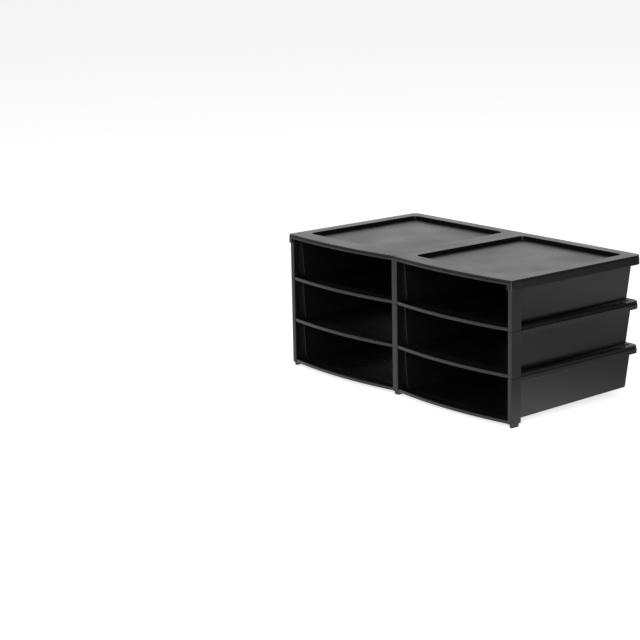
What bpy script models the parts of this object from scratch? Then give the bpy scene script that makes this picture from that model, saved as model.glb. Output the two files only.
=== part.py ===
"""Stackable open-front sorter: three double-wide trays and a lid, each a single moulding.

+X is to the right and +Y to the back of the sorter, +Z is up, and everything is in metres.
The origin is on the surface that the sorter stands on, below the middle of its outline.
Gravity holds the stack: pegs below each tray drop into the sockets of the tray under it.
"""

import math

import bmesh
import bpy
from mathutils import Vector

# Driving dimensions of the stack
LEVELS = 3
PITCH = 0.0762  # height that each tray adds to the stack
GAP = 0.0003  # clearance between pieces that rest on each other
PEG = 0.0060  # how far the pegs reach below a tray

# Outline of the lid, which is the widest piece
LID_HALF_WIDTH = 0.2829
LID_BACK = 0.1567
LID_FRONT = -0.1472
LID_RADIUS = 0.0120
LID_FRONT_RADIUS = 0.0024  # the front corners are tighter
LID_BOW = 0.0098  # how far the front edge swells out in front of each column
LID_RISE = 0.0074  # top of the lid above the posts of the top tray
LID_SKIRT = 0.0158
LID_FRONT_SKIRT = 0.0074
LID_WALL = 0.0013
LID_DRAFT = 0.0005  # how far the skirt leans in over its height
LID_PLATE = 0.0013

# Sunk panels of the lid, one over each column
PANEL_OUTER = 0.2590
PANEL_INNER = 0.0230
PANEL_FRONT = -0.1180
PANEL_BACK = 0.1350
PANEL_DEPTH = 0.0066
PANEL_RADIUS = 0.0120
PAN_WALL = 0.0018

# Rim of a tray
RIM_HALF_WIDTH = 0.2812
RIM_BACK = 0.1551
RIM_RADIUS = 0.0110
RIM_PLATE = 0.0026
RIM_SKIRT = 0.0137
RIM_RISE = 0.0058  # how far the rim stands above the tops of the posts
RIM_START = -0.1226  # front ends of the raised rim, just behind the posts
SKIRT_WALL = 0.0022

# Tubs: the walls lean in towards the floor
TUB_HALF_WIDTH = 0.2720  # outside of the side wall, level with the rim
TUB_BACK = 0.1459
TUB_RADIUS = 0.0050
DRAFT = 0.0065  # how far a wall leans in over the height of a tray
WALL = 0.0028
MOUTH = -0.1275  # front edges of the tub walls
FLOOR_AT_MOUTH = 0.0049
FLOOR_SLOPE = 0.0252  # the floor climbs towards the back
FLOOR = 0.0030
DIVIDER_TOP = 0.0072  # half the thickness of the divider, level with the rim
DIVIDER_BASE = 0.0142

# Posts at the front corners and in the middle
POST_FRONT = -0.1446
POST_DEPTH = 0.0216
POST_WIDTH = 0.0089
MIDDLE_POST_WIDTH = 0.0130
POST_WALL = 0.0024
POST_EDGE = 0.0012
WEB = 0.0026

# Bowed front lip of each column
LIP_BOW = 0.0108
LIP_HEIGHT = 0.0060
LIP_WALL = 0.0022
APRON = 0.0021  # thickness of the plate between the lip and the floor

# Pegs and the sockets that take them
PEG_INSET = 0.0016
PEG_DEPTH = 0.0166
PEG_TAPER = 0.0004
SOCKET_PLAY = 0.0004
SOCKET_DEPTH = 0.0068

# Stacking legs behind the back wall, one for each column
LEG_CENTRE = 0.1380
LEG_HALF_WIDTH = 0.0150
LEG_FRONT = 0.1365
LEG_BACK = 0.1519
LEG_WALL = 0.0026
LEG_PEG_HALF_WIDTH = 0.0080
LEG_PEG_FRONT = 0.1469
LEG_PEG_BACK = 0.1511

TRAY_HEIGHT = PITCH - GAP  # of the posts, above the tray's base
RIM_TOP = TRAY_HEIGHT + RIM_RISE
CORNER_STEPS = 6
BOW_STEPS = 24
REACH = 0.02  # how far a cutter runs past the face that it cuts through


def clear_scene():
    for old in list(bpy.data.objects):
        bpy.data.objects.remove(old, do_unlink=True)


def plastic(name, colour, roughness):
    material = bpy.data.materials.new(name)
    material.use_nodes = True
    shader = material.node_tree.nodes["Principled BSDF"]
    shader.inputs["Base Color"].default_value = (*colour, 1.0)
    shader.inputs["Roughness"].default_value = roughness
    shader.inputs["Metallic"].default_value = 0.0
    return material


def arc(centre, radius, start, end, steps=CORNER_STEPS):
    """Points of an arc, with its angles in degrees and anticlockwise from +X."""
    turns = [math.radians(start + (end - start) * i / steps) for i in range(steps + 1)]
    return [(centre[0] + radius * math.cos(a), centre[1] + radius * math.sin(a)) for a in turns]


def rectangle(x0, x1, y0, y1):
    return [(x0, y0), (x1, y0), (x1, y1), (x0, y1)]


def rounded_back(x0, x1, front, back, radius):
    """A rectangle with its two back corners rounded."""
    right = arc((x1 - radius, back - radius), radius, 0, 90)
    left = arc((x0 + radius, back - radius), radius, 90, 180)
    return [(x0, front), (x1, front), *right, *left]


def rounded(x0, x1, front, back, radius):
    """A rectangle with all four corners rounded."""
    outline = arc((x0 + radius, front + radius), radius, 180, 270)
    outline += arc((x1 - radius, front + radius), radius, 270, 360)
    outline += arc((x1 - radius, back - radius), radius, 0, 90)
    return outline + arc((x0 + radius, back - radius), radius, 90, 180)


def bowed_edge(x0, x1, y, bow, steps=BOW_STEPS):
    """Points from x0 to x1 on a parabola that swells out to the front by bow."""
    shares = [i / steps for i in range(steps + 1)]
    return [(x0 + (x1 - x0) * t, y - 4 * bow * t * (1 - t)) for t in shares]


def floor_plane(height_at_mouth):
    """Height and slope of a plane that climbs to the back as the floor does."""
    return height_at_mouth - FLOOR_SLOPE * MOUTH, FLOOR_SLOPE


def loft(name, outline, z0, z1, base=None):
    """A closed solid whose outline at height z is outline(z), from z0 up to z1. base gives the
    height and slope of a tilted plane that the solid starts from instead of z0."""
    mesh = bmesh.new()
    low = [Vector((x, y, z0)) for x, y in outline(z0)]
    high = [Vector((x, y, z1)) for x, y in outline(z1)]
    if base:
        height, slope = base
        for i, (foot, head) in enumerate(zip(low, high)):
            rise = z1 - z0 - slope * (head.y - foot.y)
            low[i] = foot.lerp(head, (height + slope * foot.y - z0) / rise)
    low = [mesh.verts.new(point) for point in low]
    high = [mesh.verts.new(point) for point in high]
    count = len(low)
    mesh.faces.new(list(reversed(low)))
    mesh.faces.new(high)
    for i in range(count):
        j = (i + 1) % count
        mesh.faces.new([low[i], low[j], high[j], high[i]])
    bmesh.ops.recalc_face_normals(mesh, faces=mesh.faces[:])
    data = bpy.data.meshes.new(name)
    mesh.to_mesh(data)
    mesh.free()
    solid = bpy.data.objects.new(name, data)
    bpy.context.collection.objects.link(solid)
    return solid


def prism(name, outline, z0, z1):
    return loft(name, lambda height: outline, z0, z1)


def box(name, x0, x1, y0, y1, z0, z1):
    return prism(name, rectangle(x0, x1, y0, y1), z0, z1)


def apply_boolean(target, tool, operation):
    """Joins tool to target, or cuts target with it, and removes the tool."""
    modifier = target.modifiers.new("boolean", "BOOLEAN")
    modifier.operation = operation
    modifier.solver = "EXACT"
    modifier.object = tool
    graph = bpy.context.evaluated_depsgraph_get()
    result = bpy.data.meshes.new_from_object(target.evaluated_get(graph), depsgraph=graph)
    target.modifiers.clear()
    target.data = result
    bpy.data.objects.remove(tool, do_unlink=True)


def join(target, *tools):
    for tool in tools:
        apply_boolean(target, tool, "UNION")


def cut(target, *tools):
    for tool in tools:
        apply_boolean(target, tool, "DIFFERENCE")


def lean(height):
    """How far a tub wall has moved in at this height above the tray's base."""
    return DRAFT * (1 - height / TRAY_HEIGHT)


def tub_hull():
    """The outside of both tubs as one block, with a base that climbs to the back."""

    def outline(height):
        half, back = TUB_HALF_WIDTH - lean(height), TUB_BACK - lean(height)
        return rounded_back(-half, half, MOUTH, back, TUB_RADIUS)

    under = floor_plane(FLOOR_AT_MOUTH - FLOOR)
    return loft("tub_hull", outline, 0.0, RIM_TOP - RIM_PLATE / 2, under)


def compartment(side):
    """The space inside one tub, open at the top and at the front. side is -1 or 1."""

    def outline(height):
        inner = DIVIDER_TOP + (DIVIDER_BASE - DIVIDER_TOP) * (1 - height / TRAY_HEIGHT)
        outer = TUB_HALF_WIDTH - WALL - lean(height)
        x0, x1 = sorted((side * inner, side * outer))
        back = TUB_BACK - WALL - lean(height)
        return rounded_back(x0, x1, MOUTH - REACH, back, TUB_RADIUS - WALL / 2)

    floor = floor_plane(FLOOR_AT_MOUTH)
    return loft("compartment", outline, 0.0, TRAY_HEIGHT + REACH, floor)


def divider_hollow():
    """The hollow between the two walls of the divider, open below."""

    def outline(height):
        share = 1 - height / TRAY_HEIGHT
        half = DIVIDER_TOP + (DIVIDER_BASE - DIVIDER_TOP) * share - WALL
        return rectangle(-half, half, MOUTH + WEB, TUB_BACK - lean(height) - WALL)

    return loft("divider_hollow", outline, -REACH, TRAY_HEIGHT - RIM_PLATE)


def rim():
    """The flange round the top with its turned-down skirt, still closed over the tubs."""
    bottom = RIM_TOP - RIM_SKIRT
    start = RIM_START - GAP * 3
    outer = rounded_back(-RIM_HALF_WIDTH, RIM_HALF_WIDTH, start, RIM_BACK, RIM_RADIUS)
    half, back = RIM_HALF_WIDTH - SKIRT_WALL, RIM_BACK - SKIRT_WALL
    inner = rounded_back(-half, half, start - REACH, back, RIM_RADIUS - SKIRT_WALL)
    flange = prism("rim", outer, bottom, RIM_TOP)
    cut(flange, prism("under_flange", inner, bottom - REACH, RIM_TOP - RIM_PLATE))
    return flange


def above_posts():
    """What stands above the tops of the posts in front of the rim and along the divider."""
    top = RIM_TOP + REACH
    half = RIM_HALF_WIDTH + REACH
    front = box("front", -half, half, MOUTH - REACH, RIM_START, TRAY_HEIGHT, top)
    half = (DIVIDER_TOP + DIVIDER_BASE) / 2
    divider = box("divider", -half, half, MOUTH - REACH, TUB_BACK - WALL, TRAY_HEIGHT, top)
    return front, divider


def post(x0, x1):
    """A solid post whose two front edges are eased."""
    front, back = POST_FRONT, POST_FRONT + POST_DEPTH
    outline = [
        (x0, front + POST_EDGE),
        (x0 + POST_EDGE, front),
        (x1 - POST_EDGE, front),
        (x1, front + POST_EDGE),
        (x1, back),
        (x0, back),
    ]
    return prism("post", outline, 0.0, TRAY_HEIGHT)


def post_hollow(x0, x1):
    """The inside of a post, which is a channel open to the back."""
    front = POST_FRONT + POST_WALL
    back = POST_FRONT + POST_DEPTH + REACH / 8
    top = TRAY_HEIGHT - SOCKET_DEPTH - POST_WALL
    return box("hollow", x0 + POST_WALL, x1 - POST_WALL, front, back, POST_WALL, top)


def peg_outline(x0, x1, grow=0.0):
    front = POST_FRONT + PEG_INSET + POST_EDGE / 2
    back = front + PEG_DEPTH
    return rectangle(x0 - grow, x1 + grow, front - grow, back + grow)


def peg(span):
    """A tapered peg below a post, reaching a little up into it."""

    def outline(height):
        return peg_outline(*span, PEG_TAPER * height / PEG)

    return loft("peg", outline, -PEG, POST_WALL / 2)


def apron(side):
    """The plate in front of one tub with its bowed, raised lip."""
    inner = MIDDLE_POST_WIDTH / 2
    outer = RIM_HALF_WIDTH - POST_WIDTH
    x0, x1 = sorted((side * inner, side * outer))
    front = POST_FRONT + POST_EDGE
    behind = MOUTH + WEB
    lap = POST_WALL / 2
    edge = [(x0 - lap, front), *bowed_edge(x0, x1, front, LIP_BOW), (x1 + lap, front)]
    plate = prism("apron", [*edge, (x1 + lap, behind), (x0 - lap, behind)], 0.0, LIP_HEIGHT)
    inside = bowed_edge(x0, x1, front + LIP_WALL, LIP_BOW)
    well = [(x0 - REACH, front + LIP_WALL), *inside, (x1 + REACH, front + LIP_WALL)]
    well += [(x1 + REACH, behind + REACH), (x0 - REACH, behind + REACH)]
    cut(plate, prism("well", well, APRON, LIP_HEIGHT + REACH))
    return plate


def webs():
    """Upright plates that close the gap between each post and the leaning tub wall."""
    top = TRAY_HEIGHT - RIM_PLATE / 2
    back = MOUTH + WEB
    inner = TUB_HALF_WIDTH - DRAFT - WALL / 2
    outer = RIM_HALF_WIDTH - POST_WIDTH + POST_WALL * 0.7
    sides = [box("web", *sorted((s * inner, s * outer)), MOUTH, back, 0.0, top) for s in (-1, 1)]
    half = DIVIDER_BASE - 0.0004
    return [*sides, box("web", -half, half, MOUTH, back, 0.0, top)]


def leg(side):
    """A stacking leg behind the back wall: two ribs and a foot, open to the back."""
    x0, x1 = side * LEG_CENTRE - LEG_HALF_WIDTH, side * LEG_CENTRE + LEG_HALF_WIDTH
    top = RIM_TOP - RIM_PLATE / 2
    foot = RIM_RISE + GAP
    solid = box("leg", x0, x1, LEG_FRONT, LEG_BACK, foot, top)

    def inside(height):
        wall = TUB_BACK - WALL / 2 - lean(height)
        return rectangle(x0 + LEG_WALL, x1 - LEG_WALL, wall, LEG_BACK + REACH)

    cut(solid, loft("leg_hollow", inside, foot + LEG_WALL, top + REACH))
    across = (side * LEG_CENTRE - LEG_PEG_HALF_WIDTH, side * LEG_CENTRE + LEG_PEG_HALF_WIDTH)
    join(solid, box("leg_peg", *across, LEG_PEG_FRONT, LEG_PEG_BACK, -PEG, foot + LEG_WALL / 2))
    return solid


def leg_socket(side):
    """The slot in the flange that takes the peg of the leg above."""
    half = LEG_PEG_HALF_WIDTH + SOCKET_PLAY
    centre = side * LEG_CENTRE
    y0, y1 = LEG_PEG_FRONT - SOCKET_PLAY, LEG_PEG_BACK + SOCKET_PLAY
    bottom = TRAY_HEIGHT - SOCKET_DEPTH
    return box("socket", centre - half, centre + half, y0, y1, bottom, RIM_TOP + REACH)


def post_spans():
    """The left and right faces of the three posts, and the same for their pegs."""
    outer = RIM_HALF_WIDTH
    inner = outer - POST_WIDTH
    half = MIDDLE_POST_WIDTH / 2
    posts = [(-outer, -inner), (-half, half), (inner, outer)]
    pegs = [(x0 + PEG_INSET, x1 - PEG_INSET) for x0, x1 in posts]
    return posts, pegs


def finish(solid, name, material, height):
    """Names a finished piece, shades its curved faces smooth and puts it at its height."""
    solid.name = name
    solid.data.name = name
    solid.data.materials.clear()
    solid.data.materials.append(material)
    solid.data.shade_smooth()
    solid.data.set_sharp_from_angle(angle=math.radians(25))
    solid.location = (0.0, 0.0, height)
    return solid


def make_tray(name, base, material):
    """One tray, built with its base at zero and then lifted to its place in the stack."""
    posts, pegs = post_spans()
    tray = tub_hull()
    join(tray, rim(), *webs(), *[leg(side) for side in (-1, 1)])
    cut(tray, divider_hollow())
    cut(tray, *[compartment(side) for side in (-1, 1)], *above_posts())
    join(tray, *[post(*span) for span in posts], *[apron(side) for side in (-1, 1)])
    cut(tray, *[post_hollow(*span) for span in posts])
    join(tray, *[peg(span) for span in pegs])
    bottom = TRAY_HEIGHT - SOCKET_DEPTH
    for span in pegs:
        hole = peg_outline(*span, SOCKET_PLAY)
        cut(tray, prism("socket", hole, bottom, TRAY_HEIGHT + REACH))
    cut(tray, *[leg_socket(side) for side in (-1, 1)])
    return finish(tray, name, material, base)


def lid_outline(inset):
    """The lid's outline moved in by inset: rounded corners, and a bow in front of each column."""
    half, back, front = LID_HALF_WIDTH - inset, LID_BACK - inset, LID_FRONT + inset
    radius = LID_RADIUS - inset
    corner = LID_FRONT_RADIUS - inset
    start = half - corner
    edge = arc((-start, front + corner), corner, 180, 270, 3)
    edge += bowed_edge(-start, 0.0, front, LID_BOW)[1:]
    edge += bowed_edge(0.0, start, front, LID_BOW)[1:]
    edge += arc((start, front + corner), corner, 270, 360, 3)[1:]
    edge += arc((half - radius, back - radius), radius, 0, 90)
    return edge + arc((-half + radius, back - radius), radius, 90, 180)


def panel_outline(side, inset=0.0):
    """Outline of one sunk panel. side is -1 or 1."""
    x0, x1 = sorted((side * PANEL_INNER, side * PANEL_OUTER))
    sizes = (x0 + inset, x1 - inset, PANEL_FRONT + inset, PANEL_BACK - inset)
    return rounded(*sizes, PANEL_RADIUS - inset)


def make_lid(name, rest, material):
    """The lid, built with zero at the tops of the posts and then lifted to its place."""
    bottom = LID_RISE - LID_SKIRT

    def outside(height):
        return lid_outline(LID_DRAFT * (height - bottom) / LID_SKIRT)

    lid = loft("lid", outside, bottom, LID_RISE)
    under = LID_RISE - LID_PLATE
    cut(lid, prism("rim_space", lid_outline(LID_WALL), bottom - REACH, under))
    mouth = RIM_HALF_WIDTH - POST_WIDTH + 0.0006
    front = LID_FRONT - LID_BOW - REACH
    low = LID_RISE - LID_FRONT_SKIRT
    cut(lid, box("front_opening", -mouth, mouth, front, POST_FRONT, bottom - REACH, low))
    for side in (-1, 1):
        floor = LID_RISE - PANEL_DEPTH
        pan = prism("pan", panel_outline(side, -PAN_WALL), floor - PAN_WALL, under + GAP)
        join(lid, pan)
        cut(lid, prism("sunk_panel", panel_outline(side), floor, LID_RISE + REACH))
    return finish(lid, name, material, rest)


def main():
    clear_scene()
    black = (0.012, 0.012, 0.013)
    names = ("bottom_tray", "middle_tray", "top_tray")
    for number, name in enumerate(names[:LEVELS]):
        make_tray(name, PEG + number * PITCH, plastic(name + "_plastic", black, 0.34))
    make_lid("lid", PEG + LEVELS * PITCH - GAP, plastic("lid_plastic", black, 0.30))


main()
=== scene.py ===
"""Looks of the stackable sorter: three double-wide trays and a lid in black moulded plastic.

Each piece is one moulding that rides on its own body of the frame. Its walls are surfaces worked
out on grids: a profile of a few corners is carried along a path, and both have eased corners.
"""

import math

import bmesh
import bpy
import numpy as np
from mathutils import Matrix, Vector


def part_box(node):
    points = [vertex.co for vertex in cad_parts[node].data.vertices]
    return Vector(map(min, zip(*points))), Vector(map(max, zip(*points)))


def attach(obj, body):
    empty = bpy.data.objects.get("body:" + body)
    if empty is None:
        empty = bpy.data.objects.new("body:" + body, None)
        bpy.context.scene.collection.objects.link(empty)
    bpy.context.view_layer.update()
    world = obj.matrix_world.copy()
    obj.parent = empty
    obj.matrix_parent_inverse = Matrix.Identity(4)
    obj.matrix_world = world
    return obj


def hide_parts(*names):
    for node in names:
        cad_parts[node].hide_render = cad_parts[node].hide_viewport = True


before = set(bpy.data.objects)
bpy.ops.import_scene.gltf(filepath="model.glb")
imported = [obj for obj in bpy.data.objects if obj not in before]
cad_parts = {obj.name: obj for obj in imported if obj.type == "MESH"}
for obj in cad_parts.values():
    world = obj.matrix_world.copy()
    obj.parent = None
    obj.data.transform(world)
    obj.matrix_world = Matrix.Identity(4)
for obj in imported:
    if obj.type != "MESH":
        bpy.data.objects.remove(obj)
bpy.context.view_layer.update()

TRAYS = ("bottom_tray", "middle_tray", "top_tray")

# Sizes of a tray, in metres
PEG = 0.0060
LIP_BOW = 0.0108
LIP_HEIGHT = 0.0060
LIP_WALL = 0.0022
APRON = 0.0021
POST_DEPTH = 0.0216
POST_WIDTH = 0.0089
MIDDLE_POST_HALF = 0.0065
POST_WALL = 0.0024
POST_EDGE = 0.0012
MOUTH_SETBACK = 0.0171  # from the front of the posts back to the mouths of the tubs
WALL = 0.0028
FLOOR = 0.0034
FLOOR_AT_MOUTH = 0.0049
FLOOR_SLOPE = 0.0252
OVERHANG = 0.0092  # from the outside of a tub wall, at the top, out to the edge of the rim
DRAFT = 0.0065
TUB_RADIUS = 0.0050
DIVIDER_TOP = 0.0072
DIVIDER_BASE = 0.0142
RIM_PLATE = 0.0026
RIM_SKIRT = 0.0137
RIM_RISE = 0.0058  # how far the rim stands above the tops of the posts
RIM_RADIUS = 0.0110
SKIRT_WALL = 0.0022
SOCKET_DEPTH = 0.0068
LEG_CENTRE = 0.1380
LEG_HALF = 0.0150
LEG_WALL = 0.0026
LEG_REACH = 0.0060  # how far a leg stands out behind the top of the back wall
SLOT_HALF = 0.0084

# Sizes of the lid
LID_BOW = 0.0098
LID_RADIUS = 0.0120
LID_FRONT_RADIUS = 0.0024
LID_WALL = 0.0013
LID_DRAFT = 0.0005
LID_PLATE = 0.0013
LID_FASCIA = 0.0074
PAN_WALL = 0.0018
PANEL_DEPTH = 0.0066
PANEL_RADIUS = 0.0120

MM = 0.001

# The black plastic
BARE = (0.0056, 0.0056, 0.0060, 1.0)
DUSTY = (0.014, 0.014, 0.0144, 1.0)
TRAY_ROUGHNESS = 0.28
LID_ROUGHNESS = 0.27
PLASTIC_IOR = 1.47
FLOW_SCALE = 9.0
GRAIN_SCALE = 1400.0

# The studio, in metres and watts
FLOOR_REACH = 40.0
FLOOR_WHITE = 0.72  # glow of the floor as the camera sees it
POOL_CENTRE = (-0.35, -0.55, 0.0)
POOL_BAND = 1.15  # from the pool's centre out to its dim band
POOL_END = 2.2  # from the pool's centre out to where it has died away
SKY_DIM = 0.05
SKY_BRIGHT = 0.84
CAMERA_LENS = 108.80
CAMERA_PLACE = (2.40313, -2.23071, 0.87700)
CAMERA_AHEAD = (-0.75995, 0.60880, -0.22768)
CAMERA_UP = (-0.16525, 0.15781, 0.97355)


# ---- surfaces


def unit(vectors):
    """Vectors scaled to length one. A vector of no length stays as it is."""
    return vectors / np.maximum(np.linalg.norm(vectors, axis=-1, keepdims=True), 1e-12)


def eased(corners, radii, steps=4):
    """Polylines (..., corner, xyz) with each corner that has a radius turned into an arc.

    The arc leaves one edge and joins the other at distance r / tan(a / 2) from the corner, where
    a is the angle between the edges. In between it is the conic
    ((1-s)^2 A + 2 w s (1-s) P + s^2 B) / ((1-s)^2 + 2 w s (1-s) + s^2) with w = sin(a / 2),
    which is a true arc of radius r.
    """
    count = corners.shape[-2]
    radii = np.broadcast_to(np.asarray(radii, float), corners.shape[:-1])
    parts = []
    for k in range(count):
        here = corners[..., k, :]
        if radii[..., k].max() <= 0:
            parts.append(here[..., None, :])
            continue
        back = unit(corners[..., k - 1, :] - here)
        ahead = unit(corners[..., (k + 1) % count, :] - here)
        cosine = np.clip((back * ahead).sum(-1, keepdims=True), -0.9999, 0.9999)
        reach = radii[..., k, None] * np.sqrt((1 + cosine) / (1 - cosine))
        weight = np.sqrt((1 - cosine) / 2)[..., None, :]
        start, end = (here + back * reach)[..., None, :], (here + ahead * reach)[..., None, :]
        s = np.linspace(0.0, 1.0, steps + 1)[:, None]
        middle = 2 * weight * s * (1 - s)
        total = (1 - s) ** 2 + middle + s**2
        arc = ((1 - s) ** 2 * start + middle * here[..., None, :] + s**2 * end) / total
        parts.append(arc)
    return np.concatenate(parts, axis=-2)


def swept(control, plan, section, plan_steps, section_steps):
    """A surface from control points (profile corner, path corner, xyz).

    plan holds the radii of the corners along the path, which are eased first. section holds the
    radii of the corners of the profile.
    """
    path = eased(control, plan, plan_steps)
    return eased(path.swapaxes(0, 1), section, section_steps).swapaxes(0, 1)


def station(radii, corner, steps):
    """Where a corner's first point comes once the corners before it have been eased."""
    return sum(steps + 1 if radius > 0 else 1 for radius in radii[:corner])


def points(*xyz):
    """Stacks numbers and arrays of x, y and z into one array of points."""
    return np.stack(np.broadcast_arrays(*xyz), axis=-1).astype(float)


class Moulding:
    """One moulded piece, gathered from closed shells."""

    def __init__(self):
        self.mesh = bmesh.new()

    def add(self, grid, around="columns", mirror=False, skip=()):
        """Adds a shell from a grid of points (row, column, xyz).

        around says which way the grid closes on itself, if at all. The ends get flat caps. skip
        lists faces to leave out.
        mirror also adds the shell's image in the plane x = 0, and halves that meet there join.
        """
        rows, columns = grid.shape[:2]
        down = rows if around == "rows" else rows - 1
        across = columns if around == "columns" else columns - 1
        r, c = np.meshgrid(np.arange(down), np.arange(across), indexing="ij")
        r2, c2 = (r + 1) % rows, (c + 1) % columns
        corners = [r * columns + c, r * columns + c2, r2 * columns + c2, r2 * columns + c]
        quads = np.stack(corners, -1)
        flat = grid.reshape(-1, 3)
        keep = ~(np.abs(flat[quads, 0]) < 1e-7).all(-1)
        for row, column in skip:
            keep[row % rows, column % columns] = False
        faces = [list(map(int, quad)) for quad in quads[keep]]
        index = np.arange(rows * columns).reshape(rows, columns)
        ends = index[[0, -1]] if around == "columns" else index[:, [0, -1]].T
        faces += [list(map(int, ends[0][::-1])), list(map(int, ends[1]))]
        if skip:
            faces += self.hole_walls(index, skip)
        if not mirror:
            self.weld(flat, faces)
            return
        image = flat * [-1.0, 1.0, 1.0]
        if np.abs(flat[:, 0]).min() > 1e-7:
            self.weld(flat, faces)
            self.weld(image, faces)
            return
        shifted = [[i + len(flat) for i in reversed(face)] for face in faces]
        self.weld(np.concatenate([flat, image]), faces + shifted)

    @staticmethod
    def hole_walls(index, skip):
        """Walls of the holes through a plate.

        skip lists the plate's missing faces, top and bottom in turn.
        """
        walls = []
        rows, columns = index.shape
        for (r, c), (q, d) in zip(skip[::2], skip[1::2]):
            top = [index[r % rows, c], index[(r + 1) % rows, c]]
            top += [index[(r + 1) % rows, c + 1], index[r % rows, c + 1]]
            low = [index[(q + 1) % rows, d], index[q % rows, d]]
            low += [index[q % rows, d + 1], index[(q + 1) % rows, d + 1]]
            for k in range(4):
                n = (k + 1) % 4
                walls.append([int(top[k]), int(top[n]), int(low[n]), int(low[k])])
        return walls

    def weld(self, verts, faces):
        """Joins a shell's coinciding points, turns its faces outwards and adds it."""
        data = bpy.data.meshes.new("shell")
        data.from_pydata(verts.tolist(), [], faces)
        shell = bmesh.new()
        shell.from_mesh(data)
        bmesh.ops.remove_doubles(shell, verts=shell.verts[:], dist=2e-6)
        bmesh.ops.recalc_face_normals(shell, faces=shell.faces[:])
        if shell.calc_volume(signed=True) < 0:
            bmesh.ops.reverse_faces(shell, faces=shell.faces[:])
        shell.to_mesh(data)
        shell.free()
        self.mesh.from_mesh(data)
        bpy.data.meshes.remove(data)

    def finish(self, name, node, lift, material):
        """Makes the piece, puts it in the node's place and lets it ride on the node's body."""
        bmesh.ops.translate(self.mesh, verts=self.mesh.verts[:], vec=(0.0, 0.0, lift))
        data = bpy.data.meshes.new(name)
        self.mesh.to_mesh(data)
        self.mesh.free()
        data.shade_smooth()
        data.set_sharp_from_angle(angle=math.radians(38))
        piece = bpy.data.objects.new(name, data)
        bpy.context.collection.objects.link(piece)
        data.materials.append(material)
        weighted = piece.modifiers.new("even_shading", "WEIGHTED_NORMAL")
        weighted.keep_sharp = True
        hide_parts(node)
        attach(piece, node)
        return piece


def block(low, high, corner=0.0, edge=0.0004, steps=3):
    """A solid between two polygons of as many corners, with eased corners and eased end faces."""
    low, high = np.asarray(low, float), np.asarray(high, float)
    rows = [low + (low.mean(0) - low) * 0.3, low, high, high + (high.mean(0) - high) * 0.3]
    return swept(np.stack(rows), corner, np.array([0.0, edge, edge, 0.0]), steps, steps)


def upright(x0, x1, y0, y1, z0, z1, corner=0.0006, edge=0.0004):
    """An upright box with eased edges."""
    outline = [(x0, y0), (x1, y0), (x1, y1), (x0, y1)]
    low = [(x, y, z0) for x, y in outline]
    high = [(x, y, z1) for x, y in outline]
    return block(low, high, corner, edge)


# ---- shader


class Value:
    """A socket that carries a number, with arithmetic that adds Math nodes."""

    def __init__(self, tree, socket):
        self.tree = tree
        self.socket = socket

    def math(self, operation, *others, flip=False):
        node = self.tree.nodes.new("ShaderNodeMath")
        node.operation = operation
        operands = [self, *others]
        if flip:
            operands.reverse()
        for slot, operand in zip(node.inputs, operands):
            if isinstance(operand, Value):
                self.tree.links.new(operand.socket, slot)
            else:
                slot.default_value = operand
        return Value(self.tree, node.outputs[0])

    def __add__(self, other):
        return self.math("ADD", other)

    def __sub__(self, other):
        return self.math("SUBTRACT", other)

    def __mul__(self, other):
        return self.math("MULTIPLY", other)

    def __rsub__(self, other):
        return self.math("SUBTRACT", other, flip=True)

    __radd__ = __add__
    __rmul__ = __mul__

    def clamped(self):
        return self.math("MAXIMUM", 0.0).math("MINIMUM", 1.0)


class Shader:
    """A material's node tree."""

    def __init__(self, name):
        self.material = bpy.data.materials.new(name)
        self.material.use_nodes = True
        self.tree = self.material.node_tree
        self.surface = self.tree.nodes["Principled BSDF"]

    def node(self, kind, settings=None, inputs=None, output=0):
        """Adds a node: its settings first, then the value or the link of each socket."""
        node = self.tree.nodes.new(kind)
        for name, value in (settings or {}).items():
            setattr(node, name, value)
        for name, value in (inputs or {}).items():
            self.feed(node.inputs[name], value)
        return Value(self.tree, node.outputs[output])

    def feed(self, socket, value):
        if isinstance(value, Value):
            self.tree.links.new(value.socket, socket)
        else:
            socket.default_value = value


def black_plastic(name, roughness):
    """Injection-moulded polypropylene: near black, with a fine spark-eroded grain, a little
    unevenness in the gloss where the melt flowed, and a faint dust that lies on upward faces."""
    shader = Shader(name)
    place = shader.node("ShaderNodeTexCoord", output="Object")
    flow = shader.node(
        "ShaderNodeTexNoise",
        {},
        {"Vector": place, "Scale": FLOW_SCALE, "Detail": 3.0, "Roughness": 0.55},
    )
    grain = shader.node(
        "ShaderNodeTexNoise", {}, {"Vector": place, "Scale": GRAIN_SCALE, "Detail": 2.0}
    )
    normal = shader.node("ShaderNodeNewGeometry", output="Normal")
    height = shader.node("ShaderNodeSeparateXYZ", {}, {"Vector": normal}, output="Z")
    dust = (height.math("MAXIMUM", 0.0) * (flow - 0.30) * 1.6).clamped()
    tone = shader.node(
        "ShaderNodeMix",
        {"data_type": "RGBA"},
        {"Factor": dust * 0.5, 6: BARE, 7: DUSTY},
        output=2,
    )
    relief = shader.node(
        "ShaderNodeBump", {}, {"Strength": 0.10, "Distance": 0.0002, "Height": grain}
    )
    surface = shader.surface
    shader.feed(surface.inputs["Base Color"], tone)
    shader.feed(surface.inputs["Roughness"], roughness + (flow - 0.5) * 0.16 + dust * 0.10)
    shader.feed(surface.inputs["Normal"], relief)
    surface.inputs["IOR"].default_value = PLASTIC_IOR
    surface.inputs["Metallic"].default_value = 0.0
    return shader.material


# ---- a tray


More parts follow.
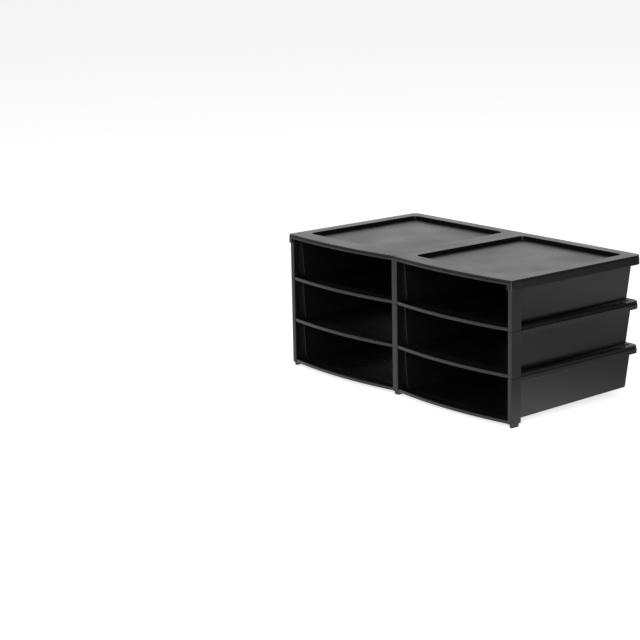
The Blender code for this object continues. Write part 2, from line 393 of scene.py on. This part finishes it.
class Tray:
    """Measures of one tray, taken from its solid, with its base at zero."""

    def __init__(self, node):
        low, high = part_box(node)
        self.node = node
        self.base = low.z + PEG
        self.rim = high.z - self.base
        self.top = self.rim - RIM_RISE  # of the posts
        self.half = high.x
        self.back = high.y
        self.front = low.y + LIP_BOW - POST_EDGE  # of the posts
        self.mouth = self.front + MOUTH_SETBACK
        self.rim_start = self.front + POST_DEPTH + 0.15 * MM
        self.post_inner = self.half - POST_WIDTH
        self.wall_half = self.half - OVERHANG
        self.wall_back = self.back - OVERHANG

    def lean(self, z):
        """How far a tub wall has moved in at height z."""
        return DRAFT * (1 - z / self.top)

    def divider(self, z):
        """Half the thickness of the divider at height z."""
        return DIVIDER_TOP + (DIVIDER_BASE - DIVIDER_TOP) * (1 - z / self.top)

    def floor(self, y):
        return FLOOR_AT_MOUTH + FLOOR_SLOPE * (y - self.mouth)


def tub(tray):
    """The right tub as a shell.

    Its path runs back along the outer wall, across the back and forward along the divider. The
    profile starts in the middle of the floor, turns up the wall, goes over the top and comes back
    under the floor. At height z a wall stands in from its top by draft * (1 - z / height). Behind
    the posts the outer wall and the back wall step up to the rim, and the divider doesn't.
    """
    y_back = tray.wall_back - tray.lean(0.01)
    raised = np.array([False, False, True, True, True, False, False])
    inner = np.arange(7) > 3
    top = np.where(raised, tray.rim, tray.top) - 0.8 * MM
    step = tray.rim_start
    behind = step + 0.15 * MM

    def along(back):
        in_front = [tray.mouth, step, behind]
        return np.array([*in_front, back[3], back[4], back[5] - 0.8 * MM, tray.mouth])

    def corners(z, inward):
        outer = tray.wall_half - inward - tray.lean(z)
        divider = tray.divider(np.minimum(z, tray.top)) - WALL + inward
        y = along(tray.wall_back - inward - tray.lean(z))
        return points(np.where(inner, divider, outer), y, z)

    def middle(drop):
        x = (tray.wall_half + DIVIDER_TOP) / 2
        y = along(np.full(7, y_back - 60 * MM))
        y[5] = y[4]
        return points(x, y, tray.floor(y) - drop)

    def low(drop, inward):
        floor = tray.floor(along(np.full(7, y_back))) - drop
        return corners(floor, inward)

    inside_rows = [middle(0.0), low(0.0, WALL), corners(top, WALL)]
    outside_rows = [corners(top, 0.0), low(FLOOR, 0.0), middle(FLOOR)]
    control = np.stack(inside_rows + outside_rows)
    inside = TUB_RADIUS - WALL / 2
    plan = np.zeros((6, 7))
    plan[1:3, 3:5] = inside
    plan[3:5, 3] = TUB_RADIUS
    plan[3:5, 4] = 0.3 * MM
    section = np.array([0.0, 3.2, 0.3, 0.3, 1.6, 0.0]) * MM
    return swept(control, plan, section, 6, 5)


def rim(tray):
    """The flange round the top, its turned-down skirt and the shallow groove along it.

    The profile is carried round the sides and the back. Two faces of the plate on each side of the
    back are left out, which makes the slots for the legs of the tray above.
    """
    start = tray.rim_start
    top = tray.rim
    inner = OVERHANG + WALL - 0.4 * MM
    groove = (3.0 * MM, 3.5 * MM, inner - 3.0 * MM, inner - 2.5 * MM)
    depth = 0.6 * MM
    profile = [
        (inner, top - RIM_PLATE, 0.0),
        (inner, top, 0.9 * MM),
        (groove[3], top, 0.0),
        (groove[2], top - depth, 0.0),
        (groove[1], top - depth, 0.0),
        (groove[0], top, 0.0),
        (1.3 * MM, top, 1.1 * MM),
        (0.5 * MM, top - RIM_RISE, 0.0),
        (0.0, top - RIM_RISE - 0.5 * MM, 0.5 * MM),
        (0.0, top - RIM_SKIRT, 0.6 * MM),
        (SKIRT_WALL, top - RIM_SKIRT, 0.5 * MM),
        (SKIRT_WALL + MM, top - RIM_PLATE, 0.7 * MM),
        (groove[1], top - RIM_PLATE, 0.0),
        (groove[2], top - RIM_PLATE, 0.0),
    ]
    edges = sorted(side * LEG_CENTRE + end * SLOT_HALF for side in (-1, 1) for end in (-1, 1))
    rows = []
    for inset, z, _ in profile:
        half, back = tray.half - inset, tray.back - inset
        x = np.array([-half, -half, *edges, half, half])
        y = np.array([start, back, back, back, back, back, back, start])
        rows.append(points(x, y, z))
    control = np.stack(rows)
    plan = np.zeros(control.shape[:2])
    insets = np.array([inset for inset, _, _ in profile])
    plan[:, 1] = plan[:, 6] = np.maximum(RIM_RADIUS - insets, 2.4 * MM)
    section = np.array([radius for _, _, radius in profile])
    plan_steps, section_steps = 7, 4
    plate_rows = [station(section, corner, section_steps) for corner in (3, 12)]
    slots = [station(plan[0], edge, plan_steps) for edge in (2, 4)]
    skip = [(row, column) for column in slots for row in plate_rows]
    return swept(control, plan, section, plan_steps, section_steps), skip


def mouth_frame(tray):
    """The upright web beside each wall and the riser along the floor, in front of the right tub.

    Its inner edge follows the mouth of the tub and its outer edge runs inside the posts and the
    apron.
    """
    proud = 0.12 * MM
    top = tray.top - 0.3 * MM
    low = FLOOR_AT_MOUTH + proud
    x_out = np.array([tray.wall_half - WALL - tray.lean(z) - proud for z in (top, low)])
    x_in = np.array([tray.divider(z) + proud for z in (low, top)])
    inner_x = np.array([x_out[0], x_out[1], x_in[0], x_in[1]])
    inner_z = np.array([top, low, low, top])
    outer_x = np.array([tray.post_inner + MM, tray.post_inner + MM, 5.5 * MM, 5.5 * MM])
    outer_z = np.array([top, 0.3 * MM, 0.3 * MM, top])
    y_front, y_back = tray.mouth - 0.25 * MM, tray.mouth + 4.4 * MM
    control = np.stack(
        [
            points(inner_x, y_back, inner_z),
            points(inner_x, y_front, inner_z),
            points(outer_x, y_front, outer_z),
            points(outer_x, y_back, outer_z),
        ]
    )
    plan = np.zeros((4, 4))
    plan[:2, 1:3] = 3.2 * MM
    section = np.array([0.3, 0.8, 0.0, 0.0]) * MM
    return swept(control, plan, section, 6, 4)


def apron(tray):
    """The bowed plate in front of the right tub, with the raised lip along its edge.

    Across a column of width w the front edge lies at front - 4 * bow * t * (1 - t), t = x / w.
    """
    x0, x1 = MIDDLE_POST_HALF, tray.post_inner
    t = np.linspace(0.0, 1.0, 33)
    x = x0 + (x1 - x0) * t
    x[0] -= POST_WALL / 2
    x[-1] += POST_WALL / 2
    edge = tray.front + POST_EDGE - 4 * LIP_BOW * t * (1 - t)
    inside = edge + LIP_WALL
    behind = tray.mouth + 2.0 * MM
    rows = [
        points(x, edge, 0.0),
        points(x, edge, LIP_HEIGHT),
        points(x, inside, LIP_HEIGHT),
        points(x, inside + 0.2 * MM, APRON),
        points(x, behind, APRON),
        points(x, behind, 0.0),
    ]
    section = np.array([0.7, 1.0, 0.8, 1.2, 0.0, 0.0]) * MM
    return swept(np.stack(rows), 0.0, section, 1, 4)


def post(tray, x0, x1):
    """An upright channel, open to the back, with a socket in its top.

    Its surface is a stack of outlines. In the plain stretches the two inner corners of the outline
    lie on the back face, and in the hollow stretch they move in to the front wall.
    """
    front, back = tray.front, tray.front + POST_DEPTH
    hollow_top = tray.top - SOCKET_DEPTH - POST_WALL
    t = POST_WALL

    def outline(z, hollow=False, inset=0.0, rear=0.0):
        y0, y1 = front + inset, back - inset - rear
        a, b = x0 + inset, x1 - inset
        deep = front + t if hollow else y1
        xs = [a, b, b, b - t, b - t, a + t, a + t, a]
        ys = [y0, y0, y1, y1, deep, deep, y1, y1]
        return points(np.array(xs), np.array(ys), z)

    peg_x = (x0 + 1.2 * MM, x1 - 1.2 * MM)
    peg_y = (front + 1.8 * MM, front + 19.2 * MM)

    def socket(z):
        a, b = peg_x
        c = 0.6 * MM
        xs = [a, b, b, b - c, b - c, a + c, a + c, a]
        ys = [peg_y[0], peg_y[0], *[peg_y[1]] * 6]
        return points(np.array(xs), np.array(ys), z)

    round_foot = 2.6 * MM

    def foot_rear(z):
        return round_foot - math.sqrt(round_foot**2 - (round_foot - z) ** 2)

    rows = [outline(0.0, inset=0.9 * MM, rear=foot_rear(0.0))]
    rows += [outline(z, rear=foot_rear(z)) for z in (0.0, 0.5 * MM, 1.2 * MM)]
    rows += [outline(t + 0.3 * MM), outline(t + 0.3 * MM, True), outline(hollow_top, True)]
    rows += [outline(hollow_top), outline(tray.top - 5 * MM)]
    rows += [outline(tray.top), socket(tray.top), socket(tray.top - SOCKET_DEPTH)]
    control = np.stack(rows)
    plan = np.zeros(control.shape[:2])
    plan[:, 0] = plan[:, 1] = 1.3 * MM
    plan[:7, 2] = plan[:7, 7] = 0.8 * MM
    plan[-2:, :2] = 0.3 * MM
    section = np.zeros(len(rows))
    section[1] = 0.45 * MM
    section[-3] = 0.55 * MM
    section[-2] = 0.3 * MM
    return swept(control, plan, section, 4, 3)


def peg(tray, x0, x1):
    """A tapered peg under a post."""
    y0 = tray.front + 2.2 * MM
    y1 = y0 + 16.6 * MM
    taper = 0.4 * MM

    def outline(inset, z):
        a, b, c, d = x0 + inset, x1 - inset, y0 + inset, y1 - inset
        return [(a, c, z), (b, c, z), (b, d, z), (a, d, z)]

    return block(outline(taper, -PEG), outline(0.0, 1.2 * MM), 1.0 * MM, 0.7 * MM)


def legs(tray, moulding):
    """Two stacking legs behind the back wall: ribs with a foot between them, and a peg below."""
    x0, x1 = LEG_CENTRE - LEG_HALF, LEG_CENTRE + LEG_HALF
    back = tray.wall_back + LEG_REACH
    foot = RIM_RISE + 0.3 * MM
    top = tray.rim - RIM_PLATE / 2
    buried = 1.2 * MM
    low_y = tray.wall_back - tray.lean(foot) - buried
    high_y = tray.wall_back - buried
    side = [(low_y, foot), (back, foot), (back, top), (high_y, top)]
    for a, b in ((x0, x0 + LEG_WALL), (x1 - LEG_WALL, x1)):
        low = [(a, y, z) for y, z in side]
        high = [(b, y, z) for y, z in side]
        moulding.add(block(low, high, np.array([0.0, 1.6, 0.0, 0.0]) * MM, 0.5 * MM), mirror=True)
    sole_z = (foot + 0.02 * MM, foot + LEG_WALL)
    sole = upright(x0 + MM, x1 - MM, low_y, back - 0.2 * MM, *sole_z, 0.5 * MM)
    moulding.add(sole, mirror=True)
    y0 = tray.wall_back + MM
    half = 8.0 * MM
    key_x = (LEG_CENTRE - half, LEG_CENTRE + half)
    key = upright(*key_x, y0, y0 + 4.2 * MM, -PEG, foot + MM, MM, 0.7 * MM)
    moulding.add(key, mirror=True)


def build_tray(node, material):
    """One tray: tubs, rim, front, posts with their pegs, the divider's top and the legs."""
    tray = Tray(node)
    moulding = Moulding()
    moulding.add(tub(tray), around="none", mirror=True)
    flange, slots = rim(tray)
    moulding.add(flange, around="rows", skip=slots)
    moulding.add(mouth_frame(tray), around="rows", mirror=True)
    moulding.add(apron(tray), around="rows", mirror=True)
    moulding.add(post(tray, tray.post_inner, tray.half), mirror=True)
    moulding.add(post(tray, -MIDDLE_POST_HALF, MIDDLE_POST_HALF))
    moulding.add(peg(tray, tray.post_inner + 1.6 * MM, tray.half - 1.6 * MM), mirror=True)
    moulding.add(peg(tray, -MIDDLE_POST_HALF + 1.6 * MM, MIDDLE_POST_HALF - 1.6 * MM))
    strip = DIVIDER_TOP + 0.05 * MM
    y0, y1 = tray.front + POST_DEPTH - 0.5 * MM, tray.wall_back - WALL / 2
    top = tray.top - 0.02 * MM
    moulding.add(upright(-strip, strip, y0, y1, top - RIM_PLATE, top, 0.0, 0.9 * MM))
    legs(tray, moulding)
    return moulding.finish(node + "_moulding", node, tray.base, material)


# ---- the lid


def build_lid(node, material):
    """The lid as one shell, worked out for its right half and mirrored.

    Rings run round the half, starting on the sunk panel, up its wall, out over the top, down the
    skirt and back inside to the underside of the panel. Across each column the front edge lies at
    front - 4 * bow * t * (1 - t) with t = x / half width.
    """
    low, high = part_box(node)
    half, back, top = high.x, high.y, high.z
    front = low.y + LID_BOW
    skirt = high.z - low.z
    panel = (23.0 * MM, half - 23.9 * MM, front + 28.9 * MM, back - 21.7 * MM)
    tray_low, tray_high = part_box(TRAYS[-1])
    mouth = tray_high.x - POST_WIDTH + 0.6 * MM
    count = 26

    def panel_ring(inset, z):
        x0, x1, y0, y1 = panel
        x0, x1, y0, y1 = x0 + inset, x1 - inset, y0 + inset, y1 - inset
        r = PANEL_RADIUS
        along = np.linspace(x0 + r * 1.1, x1 - r * 1.3, count)
        x = np.concatenate([[x0], along, [x1 - r * 1.2, x1 - r * 1.1, x1, x1, x0]])
        y = np.concatenate([[y0], np.full(count, y0), [y0, y0, y0, y1, y1]])
        return points(x, y, z)

    def edge_ring(inset, z, side_inset, side_z):
        """inset and z hold along the open front, side_inset and side_z everywhere else."""
        along = np.linspace(0.0, mouth, count + 1)
        corner = half - side_inset
        past = mouth + 0.2 * MM
        x = np.concatenate([along, [past, past + 0.1 * MM, corner, corner, 0.0]])
        t = x / half
        bow = 4 * LID_BOW * t * (1 - t)
        open_front = np.arange(len(x)) <= count
        y = front + np.where(open_front, inset, side_inset) - bow
        y[-3] = front + side_inset
        y[-2:] = back - side_inset
        height = np.where(open_front, z, side_z)
        return points(x, y, height)

    depth = -PANEL_DEPTH
    rings = [
        (panel_ring(11.0 * MM, depth), 0.0),
        (panel_ring(2.6 * MM, depth), 0.0),
        (panel_ring(2.0 * MM, depth - 0.8 * MM), 0.0),
        (panel_ring(0.3 * MM, depth - 0.8 * MM), 0.4 * MM),
        (panel_ring(0.0, 0.0), 0.7 * MM),
        (edge_ring(LID_DRAFT, 0.0, LID_DRAFT, 0.0), 0.9 * MM),
        (edge_ring(0.5 * MM, -1.7 * MM, 0.5 * MM, -1.7 * MM), 0.0),
        (edge_ring(1.1 * MM, -2.3 * MM, 1.0 * MM, -2.2 * MM), 0.0),
        (edge_ring(1.1 * MM, -2.9 * MM, 1.0 * MM, -2.7 * MM), 0.0),
        (edge_ring(0.0, -3.6 * MM, 0.4 * MM, -3.3 * MM), 1.2 * MM),
        (edge_ring(0.0, -LID_FASCIA, 0.0, -skirt), 0.55 * MM),
        (edge_ring(LID_WALL, -LID_FASCIA, LID_WALL, -skirt), 0.45 * MM),
        (edge_ring(LID_WALL, -LID_PLATE, LID_WALL, -LID_PLATE), 0.0),
        (panel_ring(-PAN_WALL, -LID_PLATE), 0.0),
        (panel_ring(-PAN_WALL + 0.5 * MM, depth - PAN_WALL), 1.8 * MM),
        (panel_ring(11.0 * MM, depth - PAN_WALL), 0.0),
    ]
    control = np.stack([ring for ring, _ in rings])
    plan = np.zeros(control.shape[:2])
    insets = np.zeros(len(rings))
    is_panel = np.array([k < 5 or k > 12 for k in range(len(rings))])
    insets[11:13] = LID_WALL
    corner = control.shape[1]
    plan[is_panel, 0] = PANEL_RADIUS
    at_front = np.maximum(LID_FRONT_RADIUS - insets, 0.3 * MM)
    plan[:, corner - 3] = np.where(is_panel, PANEL_RADIUS, at_front)
    plan[:, corner - 2] = np.where(is_panel, PANEL_RADIUS, LID_RADIUS - insets)
    plan[is_panel, corner - 1] = PANEL_RADIUS
    section = np.array([radius for _, radius in rings])
    moulding = Moulding()
    moulding.add(swept(control, plan, section, 7, 4), around="columns", mirror=True)
    return moulding.finish(node + "_moulding", node, top, material)


for name in TRAYS:
    build_tray(name, black_plastic(name + "_black", TRAY_ROUGHNESS))
build_lid("lid", black_plastic("lid_black", LID_ROUGHNESS))


# ---- floor, light and camera


def make_floor():
    """A wide floor, evenly white to the eye. As light and as a mirror image it is uneven: bright
    round the front left, dim in a band further out, brighter again beyond, and dark in the end."""
    data = bpy.data.meshes.new("floor")
    r = FLOOR_REACH
    data.from_pydata([(-r, -r, 0.0), (r, -r, 0.0), (r, r, 0.0), (-r, r, 0.0)], [], [(0, 1, 2, 3)])
    floor = bpy.data.objects.new("floor", data)
    bpy.context.collection.objects.link(floor)
    shader = Shader("studio_floor")
    seen = shader.node("ShaderNodeLightPath", output="Is Camera Ray")
    place = shader.node("ShaderNodeTexCoord", output="Object")
    away = shader.node(
        "ShaderNodeVectorMath",
        {"operation": "DISTANCE"},
        {0: place, 1: POOL_CENTRE},
        output="Value",
    )
    from_band = away - POOL_BAND
    pool = (from_band * from_band * 8.0 + 0.20).clamped() * (POOL_END - away).clamped()
    glow = seen * FLOOR_WHITE + (1.0 - seen) * pool
    for name, level in (("Base Color", seen * 0.62 + 0.30), ("Emission Color", glow)):
        shader.feed(shader.surface.inputs[name], level)
    shader.surface.inputs["Emission Strength"].default_value = 1.0
    shader.surface.inputs["Roughness"].default_value = 0.9
    shader.surface.inputs["Specular IOR Level"].default_value = 0.0
    data.materials.append(shader.material)


def soft_light(name, place, aim, size, power, shine=True):
    """A soft panel of light at place, turned to aim. Without shine it has no mirror image."""
    lamp = bpy.data.lights.new(name, "AREA")
    lamp.shape = "RECTANGLE"
    lamp.size = size
    lamp.size_y = size
    lamp.energy = power
    panel = bpy.data.objects.new(name, lamp)
    bpy.context.collection.objects.link(panel)
    panel.location = place
    direction = Vector(aim) - Vector(place)
    panel.rotation_euler = direction.to_track_quat("-Z", "Y").to_euler()
    panel.visible_camera = False
    panel.visible_glossy = shine
    return panel


def make_world():
    """White to the eye. As light it is bright behind the left side, and dim elsewhere."""
    world = bpy.data.worlds.new("studio")
    world.use_nodes = True
    tree = world.node_tree
    background = tree.nodes["Background"]
    ray = tree.nodes.new("ShaderNodeLightPath")
    direction = tree.nodes.new("ShaderNodeTexCoord")
    axes = tree.nodes.new("ShaderNodeSeparateXYZ")
    tree.links.new(direction.outputs["Generated"], axes.inputs["Vector"])
    towards = Value(tree, axes.outputs["X"]) * -0.78 + Value(tree, axes.outputs["Y"]) * 0.62
    level = (SKY_BRIGHT - SKY_DIM) * (towards * 1.5 - 0.25).clamped() + SKY_DIM
    eye = Value(tree, ray.outputs["Is Camera Ray"])
    strength = eye + (1.0 - eye) * level
    tree.links.new(strength.socket, background.inputs["Strength"])
    background.inputs["Color"].default_value = (1.0, 1.0, 1.0, 1.0)
    bpy.context.scene.world = world


def make_camera():
    """A long lens that looks a little down on the front and the right side."""
    data = bpy.data.cameras.new("camera")
    data.sensor_width = 36.0
    data.lens = CAMERA_LENS
    data.clip_end = 200.0
    camera = bpy.data.objects.new("camera", data)
    bpy.context.collection.objects.link(camera)
    ahead = Vector(CAMERA_AHEAD).normalized()
    up = Vector(CAMERA_UP).normalized()
    right = ahead.cross(up).normalized()
    up = right.cross(ahead)
    turn = Matrix((right, up, -ahead)).transposed().to_4x4()
    camera.matrix_world = Matrix.Translation(CAMERA_PLACE) @ turn
    bpy.context.scene.camera = camera


make_floor()
make_world()
middle = (0.0, 0.0, 0.12)
soft_light("overhead", (0.4, -0.6, 3.2), (0.0, 0.0, 0.1), size=3.0, power=38.0)
soft_light("beside_camera", (2.1, -2.2, 1.3), middle, size=1.0, power=34.0, shine=False)
soft_light("low_front", (1.45, -1.35, 0.12), middle, size=0.45, power=9.0)
make_camera()
bpy.context.scene.view_settings.view_transform = "Standard"
